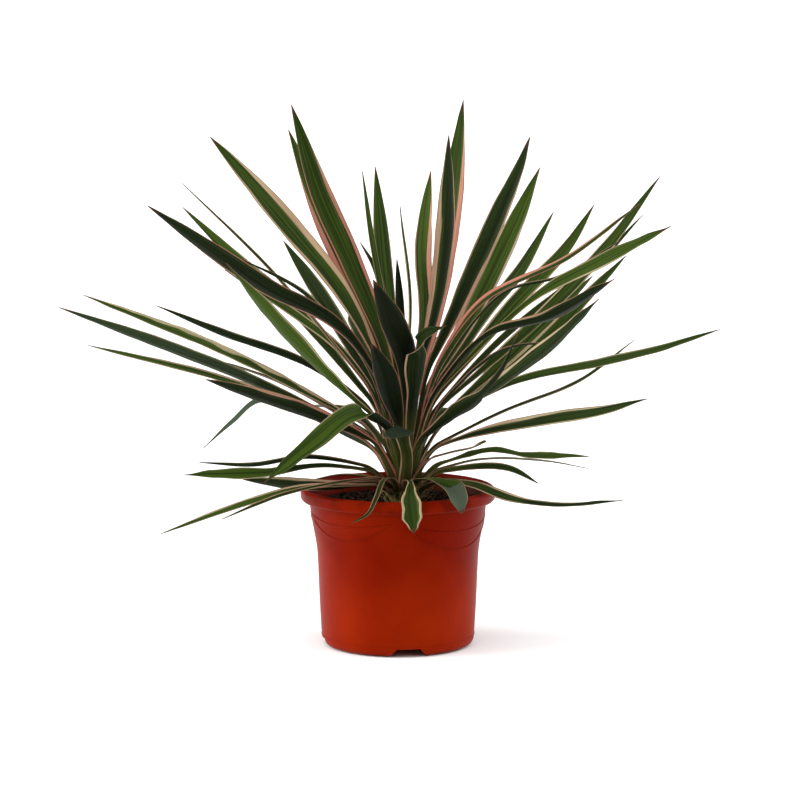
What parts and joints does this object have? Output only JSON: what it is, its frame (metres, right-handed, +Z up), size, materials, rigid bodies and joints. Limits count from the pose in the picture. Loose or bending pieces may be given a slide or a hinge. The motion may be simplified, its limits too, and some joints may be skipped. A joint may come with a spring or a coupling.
{
  "type": "potted yucca gloriosa",
  "caption": "Striped yucca in a plastic nursery pot: a rosette of long stiff pointed leaves on a short stem, rooted in peat.",
  "frame": {"origin": "on the pot's axis, on the surface that the pot stands on", "axes": "+Z up along the pot's axis, -Y towards the front of the plant as pictured, +X to its right"},
  "size_m": [0.6424, 0.5244, 0.5241],
  "materials": {
    "pot_plastic": "terracotta-red moulded polypropylene, satin, lightly dusty",
    "peat": "dark crumbly potting peat with bark bits",
    "crown": "pale leaf bases and dry papery sheaths",
    "leaf": "tough satin leaf, green centre, cream and pink margins"
  },
  "bodies": {
    "root": {"pot": "pot_plastic", "soil": "peat", "crown": "crown", "leaf_01": "leaf", "leaf_02": "leaf", "leaf_03": "leaf", "leaf_04": "leaf", "leaf_05": "leaf", "leaf_06": "leaf", "leaf_07": "leaf", "leaf_08": "leaf", "leaf_09": "leaf", "leaf_10": "leaf", "leaf_11": "leaf", "leaf_12": "leaf", "leaf_13": "leaf", "leaf_14": "leaf", "leaf_15": "leaf", "leaf_16": "leaf", "leaf_17": "leaf", "leaf_18": "leaf", "leaf_19": "leaf", "leaf_20": "leaf", "leaf_21": "leaf", "leaf_22": "leaf", "leaf_23": "leaf", "leaf_24": "leaf", "leaf_25": "leaf", "leaf_26": "leaf", "leaf_27": "leaf", "leaf_28": "leaf", "leaf_29": "leaf", "leaf_30": "leaf", "leaf_31": "leaf", "leaf_32": "leaf", "leaf_33": "leaf", "leaf_34": "leaf", "leaf_35": "leaf", "leaf_36": "leaf", "leaf_37": "leaf", "leaf_38": "leaf", "leaf_39": "leaf", "leaf_40": "leaf", "leaf_41": "leaf", "leaf_42": "leaf", "leaf_43": "leaf", "leaf_44": "leaf", "leaf_45": "leaf", "leaf_46": "leaf", "leaf_47": "leaf", "leaf_48": "leaf", "leaf_49": "leaf", "leaf_50": "leaf", "leaf_51": "leaf", "leaf_52": "leaf", "leaf_53": "leaf", "leaf_54": "leaf", "leaf_55": "leaf", "leaf_56": "leaf", "leaf_57": "leaf"}
  },
  "joints": []
}
